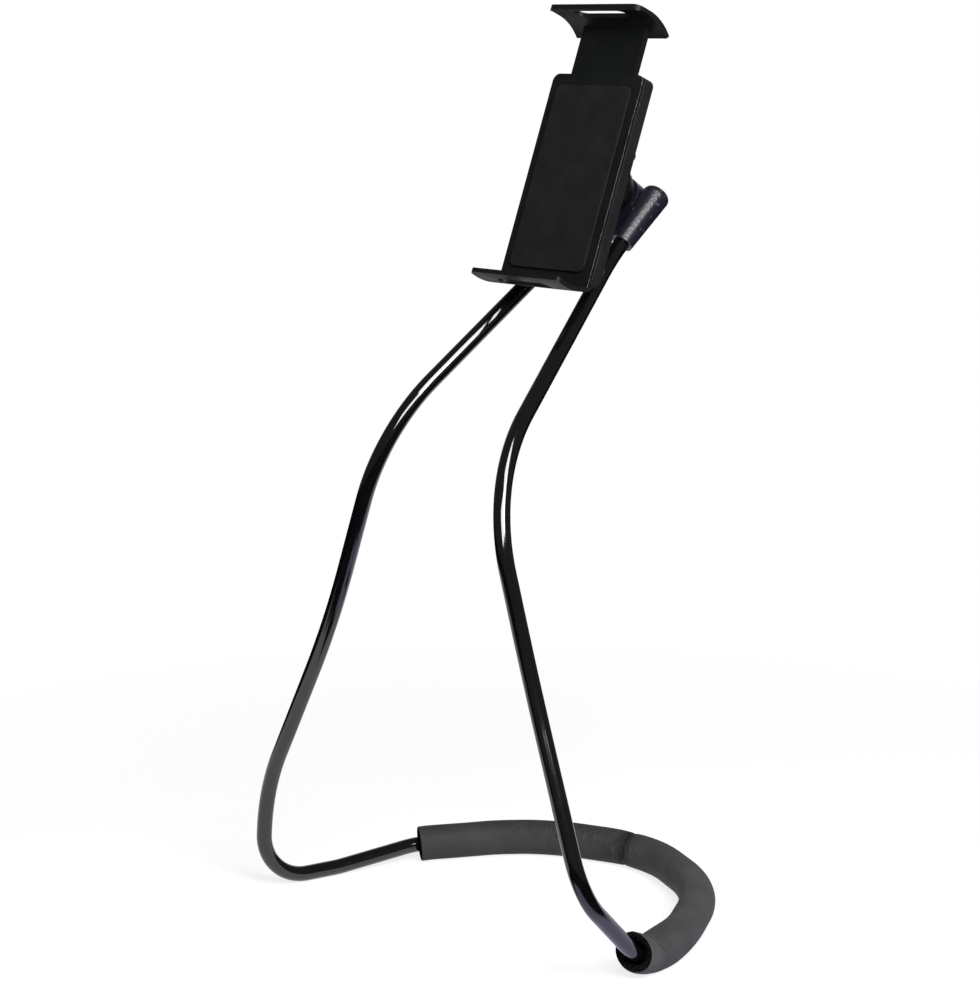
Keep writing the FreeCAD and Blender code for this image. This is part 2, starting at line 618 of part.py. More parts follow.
def jaw_spring(side):
    """Drawn-out coil spring with an end loop on the housing's post and one on the tongue's bar."""
    front, back = tongue_depths()
    step = 2 * pi / SPRING_POINTS
    post = Vector(spring_x(side), front + SPRING_DIAMETER / 2, -SPRING_POST_DROP)
    bar = Vector(spring_x(side), (front + back) / 2, spring_bar_height())
    bottom = post + ALONG * (SPRING_LOOP + SPRING_WIRE)
    rise = bar.z - SPRING_LOOP - SPRING_WIRE - bottom.z
    coil_radius = (SPRING_DIAMETER - SPRING_WIRE) / 2
    points = []
    for number in range(1, SPRING_POINTS + 1):
        angle = step * number
        points.append(post + (ACROSS * sin(angle) + ALONG * cos(angle)) * SPRING_LOOP)
    for number in range(SPRING_TURNS * SPRING_POINTS + 1):
        angle = step * number
        climb = ALONG * (rise * number / (SPRING_TURNS * SPRING_POINTS))
        points.append(bottom + (ACROSS * cos(angle) + BACKWARDS * sin(angle)) * coil_radius + climb)
    for number in range(SPRING_POINTS):
        angle = step * number
        points.append(bar + (BACKWARDS * sin(angle) - ALONG * cos(angle)) * SPRING_LOOP)
    path = Part.makePolygon(points)
    heading = points[1] - points[0]
    aside = heading.cross(BACKWARDS).normalize()
    section = Part.makePolygon([points[0] + spoke for spoke in hexagon(aside, heading)])
    return path.makePipeShell([section], True, False, 1)


def hexagon(spoke, axis):
    """Six spokes round an axis, and the first again, for a drawn wire's section."""
    turns = [Rotation(axis, 60 * number) for number in range(7)]
    return [turn.multVec(spoke) * (SPRING_WIRE / 2) for turn in turns]


def front_pad():
    """Thin soft pad on the plate's face."""
    bottom = -HOUSING_BOTTOM + JAW_THICKNESS + PAD_MARGIN
    return rounded_block(PAD_WIDTH, -PAD_THICKNESS, 0, bottom, HOUSING_TOP - PAD_MARGIN, PAD_CORNER)


def housing_screws():
    """Self-tapping screws from the back of the housing into the plate's bosses."""
    screws = []
    for x, height in screw_places():
        head = cylinder(SCREW_HEAD_DIAMETER, SCREW_HEAD_HEIGHT, Vector(x, CLAMP_DEPTH, height), BACKWARDS)
        top = CLAMP_DEPTH + SCREW_HEAD_HEIGHT
        rim = [edge for edge in head.Edges if edge.CenterOfMass.y > top - NEARLY]
        head = head.makeFillet(SCREW_HEAD_HEIGHT / 2, rim)
        tip = Vector(x, PLATE_THICKNESS, height)
        shank = cylinder(SCREW_DIAMETER, CLAMP_DEPTH - PLATE_THICKNESS, tip, BACKWARDS)
        screws.append(head.fuse(shank))
    return Part.makeCompound(screws)


def main():
    os.makedirs("parts", exist_ok=True)
    edges, marks = rod_route()
    pieces = {
        "gooseneck_core": swept(edges, CORE_DIAMETER),
        "gooseneck_sheath": swept(edges, ROD_DIAMETER, CORE_DIAMETER),
        "neck_foam_sleeve": foam_sleeve(edges, marks),
        "twin_socket_yoke": in_clamp(yoke()),
        "ball_seat_cup": in_clamp(ball_seat_cup()),
        "ball_seat_ring": in_clamp(seat_ring()),
        "lock_nut": in_clamp(lock_nut()),
        "rear_housing": in_clamp(rear_housing()),
        "front_plate": in_clamp(front_plate()),
        "front_pad": in_clamp(front_pad()),
        "housing_screws": in_clamp(housing_screws()),
        "upper_jaw": in_clamp(upper_jaw()),
        "jaw_spring_left": in_clamp(jaw_spring(-1)),
        "jaw_spring_right": in_clamp(jaw_spring(1)),
    }
    for name, shape in pieces.items():
        shape.exportStep("parts/" + name + ".step")
        state = "valid" if shape.isValid() else "INVALID"
        print(name, state, len(shape.Solids), "solids, volume", round(shape.Volume, 1))


main()
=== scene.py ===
"""Looks of the neck phone holder: glossy bent rod, charcoal foam sleeve, satin black clamp."""

from math import acos, cos, exp, pi, radians, sin, sqrt, tan

import bmesh
import bpy
from mathutils import Matrix, Vector, noise

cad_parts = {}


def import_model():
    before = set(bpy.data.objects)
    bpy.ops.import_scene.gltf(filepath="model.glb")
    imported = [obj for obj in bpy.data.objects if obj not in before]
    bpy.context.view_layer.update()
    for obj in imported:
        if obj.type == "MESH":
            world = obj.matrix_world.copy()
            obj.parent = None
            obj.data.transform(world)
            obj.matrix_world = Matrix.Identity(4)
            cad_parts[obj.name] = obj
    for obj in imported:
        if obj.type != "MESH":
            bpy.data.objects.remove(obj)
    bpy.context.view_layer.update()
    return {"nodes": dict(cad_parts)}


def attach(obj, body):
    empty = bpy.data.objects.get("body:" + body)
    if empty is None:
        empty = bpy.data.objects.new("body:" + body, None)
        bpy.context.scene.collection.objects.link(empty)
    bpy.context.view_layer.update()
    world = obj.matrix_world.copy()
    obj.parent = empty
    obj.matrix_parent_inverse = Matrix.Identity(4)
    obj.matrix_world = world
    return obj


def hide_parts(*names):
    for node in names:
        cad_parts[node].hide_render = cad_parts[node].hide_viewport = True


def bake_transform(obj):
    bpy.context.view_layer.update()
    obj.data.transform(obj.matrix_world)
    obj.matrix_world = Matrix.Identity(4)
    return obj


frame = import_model()
NODES = frame["nodes"]
MM = 0.001

# Camera: place and lens in millimetres, angles in degrees
CAMERA_PLACE = Vector((815.9, -818.3, 440.9)) * MM
CAMERA_AZIMUTH = 46.0
CAMERA_PITCH = 11.0
CAMERA_LENS = 88.07
SENSOR = 36.0

# Rod: the same corners and bends as the solid, in millimetres and degrees
ROD_RADIUS = 4.0
LOOP_HEIGHT = 9.0
FOOT_HEIGHT = 4.0
CLAMP_LEAN = 21.2
CLAMP_ORIGIN = Vector((0.0, 25.6, 371.7))
SOCKET_MOUTH = Vector((16.0, 32.9, -24.4))
SOCKET_SPLAY = 3.6
SOCKET_FORWARD = 25.4
YOKE_ROLL = 7.0
SOCKET_BORE_LENGTH = 25.0
ROD_STRAIGHT_OUT = 10.0
RIGHT_ARM = [(41.7, -71.6, 235.6), (65.7, -68.8, 148.9), (106.4, -76.0, 54.9)]
LEFT_ARM = [(-117.4, -77.3, 54.7), (-70.5, -71.6, 149.6), (-35.8, -67.8, 249.3)]
LOOP_CORNERS = [(97.4, -26.9), (88.2, 14.0), (61.2, 61.9), (0.0, 88.3), (-61.5, 63.7), (-95.1, 7.3)]
FOOT_CORNERS = [(-107.6, -37.7), (-117.7, -81.2)]
EXIT_BEND = 80.0
RIGHT_BENDS = [90.0, 350.0, 32.0]
LOOP_BENDS = [30.0, 75.0, 85.0, 62.0, 85.0, 60.0]
FOOT_BENDS = [40.0, 24.0]
LEFT_BENDS = [95.0, 500.0, 78.0]
ROD_SIDES = 32
ROD_STEP = 2.0
ROD_UNEVEN = 0.05
ROD_LUMP = 18.0
ROD_LUMPS_ROUND = 2.0

# Foam sleeve, in millimetres
FOAM_RADIUS = 9.3
FOAM_BORE = 5.0
FOAM_PAST_NEAR_BEND = 4.5
FOAM_SHORT_OF_FAR_BEND = 1.0
FOAM_SIDES = 96
FOAM_STEP = 0.6
BORE_STEP = 6
FOAM_STRETCH = 1.8
FOAM_EDGE = 0.35
FOAM_UNEVEN = 0.22
FOAM_LUMP = 16.0
FOAM_LUMPS_ROUND = 2.2
FOAM_FLARE = 0.8
FOAM_FLARE_REACH = 6.0
NEAR_FACE = Vector((0.456, -0.871, 0.181))
FAR_FACE = Vector((-0.57, -0.82, -0.08))
FACE_REACH = 16.0
THIN_END = 0.3
THIN_REACH = 34.0
BULGE = 1.9
BULGE_AT = 27.0
BULGE_REACH = 15.0
BULGE_SIDE = radians(-25.0)

# Crease round the sleeve, and the fold by its near end, in millimetres from that end
CREASE_AT = 175.0
CREASE_SLANT = 0.8
CREASE_DEPTH = 0.5
CREASE_WIDTH = 1.1
PINCH_DEPTH = 0.25
PINCH_WIDTH = 5.0
FOLD_NEAR = 1.0
FOLD_FAR = 15.0
FOLD_START = radians(115.0)
FOLD_TURN = radians(110.0)
FOLD_DEPTH = 1.1
FOLD_WIDTH = 0.9
FOLD_RIDGE = 0.9
FOLD_RIDGE_BACK = 1.8

# Finish of the foam: noise per metre, reaches in metres along the sleeve, shares of its tone
FOAM_TONE = (0.034, 0.034, 0.0352)
FOAM_ROUGHNESS = 0.70
FOAM_SPECULAR = 0.16
FOAM_CLOUD = 60.0
FOAM_DARKER = 0.86
FOAM_LIGHTER = 1.16
# Painted light over a bend near the near end, and painted shade along the far run, as shares of the
# tone
PAINTED_LIGHT_AT_BEND = 1.28
PAINTED_SHADE_FAR = 0.74
PAINTED_LIGHT_RISE = (0.020, 0.070)
PAINTED_SHADE_FALL = (0.110, 0.180)
CREASE_SHADE = 0.32
CREASE_SHADE_REACH = (0.0008, 0.006)
FOLD_LIP_LIGHT = 1.3
FOLD_LIP_REACH = (-0.005, -0.0005)
FOLD_RIDGE_LIGHT = 2.0
FOLD_SHADE = 0.65
FOLD_LINE_OFF = 0.0009
FOLD_LINE_REACH = (0.0002, 0.0011)
DUST_CLOUD = 900.0
DUST_SHOWN = (0.76, 0.82)
DUST_STRENGTH = 0.5
DUST_LIGHTER = 3.0
CELL_CLOUD = 2600.0
CELL_DEPTH = 0.00012
WRINKLE_DEPTH = 0.0018
WRINKLE_REST = 0.3
WRINKLE_RISE = (0.160, 0.172)
WRINKLE_FALL = (0.235, 0.260)
PATCH_SHOWN = (0.42, 0.58)
CUT_TONE = (0.003, 0.003, 0.003)
CUT_DARK = (0.0006, 0.0006, 0.0006)
CUT_LIGHT = (0.009, 0.009, 0.0095)
CUT_ROUGHNESS = 0.9
CUT_CLOUD = 1500.0
CUT_SHOWN = (0.42, 0.66)
CUT_DEPTH = 0.0005

# On the sleeve's map: waves per metre along it and per turn round it, and shares of a turn
WRINKLE_WAVES = (480.0, 14.0)
PATCH_WAVES = (40.0, 5.0)
HALF_TURN = 0.5
FOLD_LINE_END = (-0.02, 0.06)

# Finish of the plastics and metals: noise per metre and shares
NOISE_LOW = 0.3
NOISE_HIGH = 0.7
BROAD_CLOUD = 90.0
LIGHTER_PATCH = 1.35
GLOSS_CHANGE = 0.15
SCUFF_CLOUD = 420.0
SCUFF_SHOWN = (0.62, 0.74)

# Edges of the mouldings: widths and places in millimetres, angles in degrees, numbers of the edge
# materials, which on the yoke, the housing and down the plate's right side are painted highlights
YOKE_EASE = 0.35
HOUSING_EASE = 0.45
PLATE_EASE = 0.5
PAD_EASE = 0.3
JAW_EASE = 0.3
NUT_EASE = 0.2
EASE_STEPS = 2
SHARP_ANGLE = 35.0
FLAT_ANGLE = 0.5
WELD = 0.005
EDGE_MATERIAL = 1
SIDE_HIGHLIGHT = 2
# Where the painted highlight runs down the plate's right side
HIGHLIGHT_SIDE = 29.0
HIGHLIGHT_FROM = -52.0

# Screws on the housing's back, in millimetres
CLAMP_DEPTH = 9.0
SCREW_X = 26.0
SCREW_HEIGHTS = (11.0, -47.0)
SCREW_HEAD_HEIGHT = 2.2
RECESS_LENGTH = 2.6
RECESS_WIDTH = 0.6
RECESS_DEPTH = 1.1

# Light, in metres and watts; the backdrop stands away from the camera
BACKDROP_WAY = (-0.719, 0.695, 0.0)
CARD_EDGE = (0.80, 0.90)
ROOM_GLOW = 0.10
FILL = 0.20
HIGH_PLACE = (0.931, -0.350, 1.130)
HIGH_AXIS = (0.684, 0.414, -0.601)
HIGH_LENGTH = 1.04
LOW_PLACE = (1.010, -0.599, 0.886)
LOW_AXIS = (0.404, 0.905, 0.130)
LOW_LENGTH = 1.06
LAMP_WIDTH = 0.43
LAMP_POWER = 21.0
LIT_POINT = (0.0, -0.06, 0.27)
WHITE = (1.0, 1.0, 1.0)

# Floor, in metres; each pair is where the white of its sheet, or over its shadow, starts and ends
FLOOR_SIZE = 12.0
FLOOR_TONE = (0.9, 0.9, 0.9)
FLOOR_ROUGHNESS = 0.9
SHEET_FRONT = (-0.105, -0.080)
SHEET_SIDE = (0.140, 0.155)
SHEET_REACH = (0.55, 0.75)
APRON_SIDE = (0.000, 0.020)
APRON_FRONT = (-0.200, -0.170)
CORNER_SIDE = (0.055, 0.075)
CORNER_FRONT = (-0.175, -0.150)
CORNER_TINT = (0.75, 0.75, 1.02)
SHADOW_REACH = (0.20, 0.55)
SHADOW_HIDDEN = 0.80

UP = Vector((0, 0, 1))
ALONG = Vector((0.0, sin(radians(CLAMP_LEAN)), cos(radians(CLAMP_LEAN))))
BACK = Vector((0.0, cos(radians(CLAMP_LEAN)), -sin(radians(CLAMP_LEAN))))


def clamp_vector(x, depth, height):
    """A vector of the leaning clamp, in the part's frame."""
    return Vector((x, 0.0, 0.0)) + BACK * depth + ALONG * height


def rolled(x, depth, height):
    """A vector of the yoke, which is turned a little on the ball, in the part's frame."""
    turn = radians(YOKE_ROLL)
    across = x * cos(turn) + height * sin(turn)
    return clamp_vector(across, depth, height * cos(turn) - x * sin(turn))


def socket_points(side):
    """Floor of a socket's bore and the end of the rod's straight run out of it."""
    mouth = CLAMP_ORIGIN + rolled(side * SOCKET_MOUTH.x, SOCKET_MOUTH.y, SOCKET_MOUTH.z)
    flat = cos(radians(SOCKET_SPLAY))
    forward = radians(SOCKET_FORWARD)
    heading = rolled(side * sin(radians(SOCKET_SPLAY)), -flat * sin(forward), -flat * cos(forward))
    return mouth - heading * SOCKET_BORE_LENGTH, mouth + heading * ROD_STRAIGHT_OUT


def rod_line():
    """Evenly spaced points of the rod's centre line, and the length at the middle of each bend."""
    right_floor, right_out = socket_points(1)
    left_floor, left_out = socket_points(-1)
    corners = [right_floor, right_out] + [Vector(point) for point in RIGHT_ARM]
    corners += [Vector((x, y, LOOP_HEIGHT)) for x, y in LOOP_CORNERS]
    corners += [Vector((x, y, FOOT_HEIGHT)) for x, y in FOOT_CORNERS]
    corners += [Vector(point) for point in LEFT_ARM] + [left_out, left_floor]
    bends = [EXIT_BEND] + RIGHT_BENDS + LOOP_BENDS + FOOT_BENDS + LEFT_BENDS + [EXIT_BEND]
    points = [corners[0]]
    marks = []
    length = 0.0
    for before, corner, after, bend in zip(corners, corners[1:], corners[2:], bends):
        back = (before - corner).normalized()
        on = (after - corner).normalized()
        turn = pi - acos(back.dot(on))
        start = corner + back * (bend * tan(turn / 2))
        centre = corner + (back + on).normalized() * (bend / cos(turn / 2))
        length += add_run(points, start)
        arc_start = start - centre
        steps = max(2, round(bend * turn / ROD_STEP))
        for number in range(1, steps + 1):
            angle = turn * number / steps
            points.append(centre + arc_start * cos(angle) - back * (bend * sin(angle)))
        marks.append(length + bend * turn / 2)
        length += bend * turn
    length += add_run(points, corners[-1])
    return points, marks


def add_run(points, end):
    """Add a straight run to a list of points, in even steps, and give its length."""
    start = points[-1]
    run = end - start
    steps = max(1, round(run.length / ROD_STEP))
    points.extend(start + run * (number / steps) for number in range(1, steps + 1))
    return run.length


def lengths_along(points):
    """Length of a line up to each of its points."""
    total = [0.0]
    for first, last in zip(points, points[1:]):
        total.append(total[-1] + (last - first).length)
    return total


def stations(points, lengths, first, last, step):
    """Points, headings and lengths at even steps between two lengths along a line."""
    count = round((last - first) / step)
    found = []
    index = 0
    for number in range(count + 1):
        want = first + (last - first) * number / count
        while index < len(points) - 2 and lengths[index + 1] < want:
            index += 1
        run = lengths[index + 1] - lengths[index]
        share = (want - lengths[index]) / run
        found.append((points[index].lerp(points[index + 1], share), want))
    line = []
    for number, (point, want) in enumerate(found):
        low = found[max(number - 1, 0)][0]
        high = found[min(number + 1, count)][0]
        line.append((point, (high - low).normalized(), want))
    return line


def carried_frames(line):
    """A sideways and an upward vector at each station, carried along without twist."""
    frames = []
    across = None
    for _, heading, _ in line:
        if across is None:
            across = heading.cross(UP).normalized()
        across = (across - heading * across.dot(heading)).normalized()
        frames.append((across, across.cross(heading) * -1))
    return frames


def level_frames(line):
    """A sideways and an upward vector at each station of a line that lies nearly level."""
    frames = []
    for _, heading, _ in line:
        across = heading.cross(UP).normalized()
        frames.append((across, across.cross(heading)))
    return frames


def new_piece(name, data):
    """A new object in the scene."""
    piece = bpy.data.objects.new(name, data)
    bpy.context.scene.collection.objects.link(piece)
    return piece


def skin(rings, caps, second_rows=()):
    """Mesh over closed rings, with a map of the lengths along it.

    The ends are closed flat where caps is set, and some rows may take a second finish.
    """
    mesh = bmesh.new()
    layer = mesh.loops.layers.uv.new("lengths")
    rows = [[mesh.verts.new(point * MM) for point in ring] for ring in rings]
    sides = len(rings[0])
    along = 0.0
    for number, (row, after) in enumerate(zip(rows, rows[1:])):
        end = along + sum((b.co - a.co).length for a, b in zip(row, after)) / sides
        for side in range(sides):
            beside = (side + 1) % sides
            face = mesh.faces.new((row[side], row[beside], after[beside], after[side]))
            face.smooth = True
            face.material_index = 1 if number in second_rows else 0
            corners = ((along, side), (along, side + 1), (end, side + 1), (end, side))
            for loop, (u, v) in zip(face.loops, corners):
                loop[layer].uv = (u, v / sides)
        along = end
    if caps:
        mesh.faces.new(reversed(rows[0]))
        mesh.faces.new(rows[-1])
    bmesh.ops.recalc_face_normals(mesh, faces=mesh.faces)
    data = bpy.data.meshes.new("skin")
    mesh.to_mesh(data)
    mesh.free()
    return data


def unevenness(length, lump, lumps_round, angle):
    """Share from 0 to 1 that changes slowly along a tube and round it."""
    place = Vector((length / lump, lumps_round * cos(angle), lumps_round * sin(angle)))
    return 0.5 + 0.5 * noise.noise(place)


def rod_sheath(line):
    """Glossy sheath with the slight unevenness of a tube drawn over a bent core."""
    rings = []
    for (point, _, length), (across, up) in zip(line, carried_frames(line)):
        ring = []
        for side in range(ROD_SIDES):
            angle = 2 * pi * side / ROD_SIDES
            lump = ROD_UNEVEN * unevenness(length, ROD_LUMP, ROD_LUMPS_ROUND, angle)
            ring.append(point + (across * cos(angle) + up * sin(angle)) * (ROD_RADIUS - lump))
        rings.append(ring)
    return new_piece("rod_sheath_skin", skin(rings, caps=True))


ROD_POINTS, ROD_MARKS = rod_line()
ROD_LENGTHS = lengths_along(ROD_POINTS)
rod = rod_sheath(stations(ROD_POINTS, ROD_LENGTHS, 0.0, ROD_LENGTHS[-1], ROD_STEP))


def bell(offset, width):
    """Smooth bump that is 1 at its middle and fades to both sides."""
    return exp(-(offset / width) ** 2)


def foam_dent(travel, angle):
    """How far the foam's skin is pressed in, less its bulge, at a length and an angle round it."""
    line = CREASE_AT - CREASE_SLANT * sin(angle)
    dent = CREASE_DEPTH * bell(travel - line, CREASE_WIDTH)
    dent += PINCH_DEPTH * bell(travel - line, PINCH_WIDTH)
    share = (FOLD_START - angle) / FOLD_TURN
    if 0.0 < share < 1.0:
        fold = FOLD_NEAR + (FOLD_FAR - FOLD_NEAR) * share
        ridge = FOLD_RIDGE * bell(travel - fold + FOLD_RIDGE_BACK, FOLD_WIDTH)
        dent += sin(pi * share) * (FOLD_DEPTH * bell(travel - fold, FOLD_WIDTH) - ridge)
    thin = max(0.0, 1.0 - travel / THIN_REACH)
    bulge = BULGE * max(0.0, cos(angle - BULGE_SIDE)) * bell(travel - BULGE_AT, BULGE_REACH)
    return dent + THIN_END * thin * thin - bulge


def cut_slope(station, frame_vectors, facing):
    """How far a slanted cut end runs along the sleeve, per step sideways and per step up."""
    heading = station[1]
    across, up = frame_vectors
    return -facing.dot(across) / facing.dot(heading), -facing.dot(up) / facing.dot(heading)


def foam_end(from_end):
    """Rounding of the skin's edge, flare of the bore and share of the slant, by a cut end."""
    drop = max(0.0, FOAM_EDGE - from_end)
    rounding = FOAM_EDGE - sqrt(max(0.0, FOAM_EDGE ** 2 - drop ** 2))
    flare = FOAM_FLARE * max(0.0, 1.0 - from_end / FOAM_FLARE_REACH) ** 2
    return rounding, flare, max(0.0, 1.0 - from_end / FACE_REACH)


def foam_sleeve(line):
    """Foam tube with slanted cut ends, a flat underside, a crease, a fold and an uneven skin."""
    outer = []
    inner = []
    total = line[-1][2] - line[0][2]
    turns = level_frames(line)
    near_slope = cut_slope(line[0], turns[0], NEAR_FACE)
    far_slope = cut_slope(line[-1], turns[-1], FAR_FACE)
    for (point, heading, length), (across, up) in zip(line, turns):
        travel = length - line[0][2]
        rounding, flare, share = foam_end(min(travel, total - travel))
        slope = near_slope if travel < total / 2 else far_slope
        ring = []
        core = []
        for side in range(FOAM_SIDES):
            angle = 2 * pi * side / FOAM_SIDES
            signed = angle if angle <= pi else angle - 2 * pi
            out = across * cos(angle) + up * sin(angle)
            lean = heading * (share * (slope[0] * cos(angle) + slope[1] * sin(angle)))
            lump = FOAM_UNEVEN * unevenness(travel, FOAM_LUMP, FOAM_LUMPS_ROUND, angle)
            radius = FOAM_RADIUS - rounding - lump - foam_dent(travel, signed)
            skin_point = point + (out + lean) * radius
            skin_point.z = max(skin_point.z, 0.0)
            ring.append(skin_point)
            core.append(point + (out + lean) * (FOAM_BORE + flare))
        outer.append(ring)
        inner.append(core)
    bore_rings = inner[::BORE_STEP] + [inner[-1]]
    rings = outer + bore_rings[::-1] + [outer[0]]
    cut_rows = range(len(outer) - 1, len(rings) - 1)
    return new_piece("foam_sleeve_skin", skin(rings, caps=False, second_rows=cut_rows))


first_loop_bend = 1 + len(RIGHT_BENDS)
last_loop_bend = len(RIGHT_BENDS) + len(LOOP_BENDS)
near = ROD_MARKS[first_loop_bend] - FOAM_PAST_NEAR_BEND - FOAM_STRETCH
far = ROD_MARKS[last_loop_bend] - FOAM_SHORT_OF_FAR_BEND
foam = foam_sleeve(stations(ROD_POINTS, ROD_LENGTHS, near, far, FOAM_STEP))


# Materials

def material(name, colour, roughness, specular, metallic=0.0):
    """A plain shader with its node tree, ready for detail."""
    made = bpy.data.materials.new(name)
    made.use_nodes = True
    shader = made.node_tree.nodes["Principled BSDF"]
    shader.inputs["Base Color"].default_value = (*colour, 1.0)
    shader.inputs["Roughness"].default_value = roughness
    shader.inputs["Specular IOR Level"].default_value = specular
    shader.inputs["Metallic"].default_value = metallic
    return made, made.node_tree, shader


def cloud(tree, scale, detail=4.0, source=None):
    """Noise in metres of the object's own space, or of a given vector."""
    made = tree.nodes.new("ShaderNodeTexNoise")
    made.inputs["Scale"].default_value = scale
    made.inputs["Detail"].default_value = detail
    if source is None:
        source = tree.nodes.new("ShaderNodeTexCoord").outputs["Object"]
    tree.links.new(source, made.inputs["Vector"])
    return made.outputs["Fac"]


def ranged(tree, value, low, high, start=NOISE_LOW, end=NOISE_HIGH):
    """A value that runs from low to high while another runs from start to end."""
    made = tree.nodes.new("ShaderNodeMapRange")
    made.inputs["From Min"].default_value = start
    made.inputs["From Max"].default_value = end
    made.inputs["To Min"].default_value = low
    made.inputs["To Max"].default_value = high
    tree.links.new(value, made.inputs["Value"])
    return made.outputs["Result"]


def toned(tree, share, first, second):
    """Mix of two colours, each a plain colour or one that another node gives."""
    made = tree.nodes.new("ShaderNodeMix")
    made.data_type = "RGBA"
    tree.links.new(share, made.inputs["Factor"])
    for socket, colour in ((made.inputs["A"], first), (made.inputs["B"], second)):
        if isinstance(colour, bpy.types.NodeSocket):
            tree.links.new(colour, socket)
        else:
            socket.default_value = (*colour, 1.0)
    return made.outputs["Result"]


def bumped(tree, height, distance, under=None):
    """Relief of a given depth, on top of another relief where there is one."""
    made = tree.nodes.new("ShaderNodeBump")
    made.inputs["Distance"].default_value = distance
    made.inputs["Strength"].default_value = 1.0
    tree.links.new(height, made.inputs["Height"])
    if under is not None:
        tree.links.new(under, made.inputs["Normal"])
    return made.outputs["Normal"]


def combined(tree, kind, first, second):
    """Two values, or a value and a number, put through one sum."""
    made = tree.nodes.new("ShaderNodeMath")
    made.operation = kind
    for socket, value in zip(made.inputs, (first, second)):
        if isinstance(value, float):
            socket.default_value = value
        else:
            tree.links.new(value, socket)
    return made.outputs["Value"]


def away_from(tree, value, place):
    """How far a value lies from a place, on either side of it."""
    return combined(tree, "ABSOLUTE", combined(tree, "SUBTRACT", value, place), 0.0)


def flat_parts(tree, vector):
    """The first two parts of a vector."""
    parts = tree.nodes.new("ShaderNodeSeparateXYZ")
    tree.links.new(vector, parts.inputs["Vector"])
    return parts.outputs["X"], parts.outputs["Y"]


def shaded(tree, tone, light):
    """A colour made darker or lighter by a value."""
    made = tree.nodes.new("ShaderNodeVectorMath")
    made.operation = "SCALE"
    tree.links.new(tone, made.inputs[0])
    tree.links.new(light, made.inputs["Scale"])
    return made.outputs["Vector"]


def grained(name, colour, roughness, specular, grain, depth, scuffs=None, metallic=0.0):
    """Plastic or metal: uneven gloss, faint colour change, fine grain and, where given, pale scuffs."""
    made, tree, shader = material(name, colour, roughness, specular, metallic)
    broad = cloud(tree, BROAD_CLOUD)
    lighter = [LIGHTER_PATCH * part for part in colour]
    tone = toned(tree, ranged(tree, broad, 0.0, 1.0), colour, lighter)
    if scuffs:
        specks = ranged(tree, cloud(tree, SCUFF_CLOUD, detail=6.0), 0.0, 1.0, *SCUFF_SHOWN)
        tone = toned(tree, specks, tone, scuffs)
    tree.links.new(tone, shader.inputs["Base Color"])
    uneven = ranged(tree, broad, (1 - GLOSS_CHANGE) * roughness, (1 + GLOSS_CHANGE) * roughness)
    tree.links.new(uneven, shader.inputs["Roughness"])
    tree.links.new(bumped(tree, cloud(tree, grain, detail=2.0), depth), shader.inputs["Normal"])
    return made


def sleeve_map(tree):
    """The sleeve's own map: metres along it from its near end, and shares of a turn round it."""
    made = tree.nodes.new("ShaderNodeUVMap")
    made.uv_map = "lengths"
    return made.outputs["UV"]


def sleeve_cloud(tree, waves, detail):
    """Noise on the sleeve's map, with its own count of waves along and round the sleeve."""
    made = tree.nodes.new("ShaderNodeVectorMath")
    made.operation = "MULTIPLY"
    made.inputs[1].default_value = (*waves, 1.0)
    tree.links.new(sleeve_map(tree), made.inputs[0])
    return cloud(tree, 1.0, detail, made.outputs["Vector"])


def fold_light(tree, travel, turn):
    """Light and shade of the fold by the near end: a pale lip, a bright ridge and a dark groove."""
    signed = combined(tree, "SUBTRACT", turn, combined(tree, "GREATER_THAN", turn, HALF_TURN))
    low = (FOLD_START - FOLD_TURN) / (2 * pi)
    high = FOLD_START / (2 * pi)
    line = ranged(tree, signed, FOLD_FAR * MM, FOLD_NEAR * MM, low, high)
    past = combined(tree, "SUBTRACT", travel, line)
    lip = ranged(tree, past, FOLD_LIP_LIGHT, 1.0, *FOLD_LIP_REACH)
    off_ridge = away_from(tree, past, -FOLD_LINE_OFF)
    ridge = ranged(tree, off_ridge, FOLD_RIDGE_LIGHT, 1.0, *FOLD_LINE_REACH)
    off_groove = away_from(tree, past, FOLD_LINE_OFF)
    groove = ranged(tree, off_groove, FOLD_SHADE, 1.0, *FOLD_LINE_REACH)
    drawn = ranged(tree, signed, 0.0, 1.0, low + FOLD_LINE_END[0], low + FOLD_LINE_END[1])
    lines = combined(tree, "SUBTRACT", combined(tree, "MULTIPLY", ridge, groove), 1.0)
    lines = combined(tree, "ADD", combined(tree, "MULTIPLY", lines, drawn), 1.0)
    return combined(tree, "MULTIPLY", lip, lines)


def foam_tone(tree, travel, turn):
    """Uneven tone of the skin, with the shades of its crease and fold, painted light over a bend near
    the near end that falls to painted shade along the far run, and dust.
    """
    darker = [FOAM_DARKER * part for part in FOAM_TONE]
    lighter = [FOAM_LIGHTER * part for part in FOAM_TONE]
    dusty = [DUST_LIGHTER * part for part in FOAM_TONE]
    tone = toned(tree, ranged(tree, cloud(tree, FOAM_CLOUD), 0.0, 1.0), darker, lighter)
    off_crease = away_from(tree, travel, CREASE_AT * MM)
    tone = shaded(tree, tone, ranged(tree, off_crease, CREASE_SHADE, 1.0, *CREASE_SHADE_REACH))
    tone = shaded(tree, tone, fold_light(tree, travel, turn))
    # painted light over the bend, then painted shade along the far run
    bend_light = ranged(tree, travel, 1.0, PAINTED_LIGHT_AT_BEND, *PAINTED_LIGHT_RISE)
    far_shade = ranged(tree, travel, 1.0, PAINTED_SHADE_FAR / PAINTED_LIGHT_AT_BEND, *PAINTED_SHADE_FALL)
    tone = shaded(tree, tone, combined(tree, "MULTIPLY", bend_light, far_shade))
    dust = ranged(tree, cloud(tree, DUST_CLOUD, detail=1.0), 0.0, DUST_STRENGTH, *DUST_SHOWN)
    return toned(tree, dust, tone, dusty)


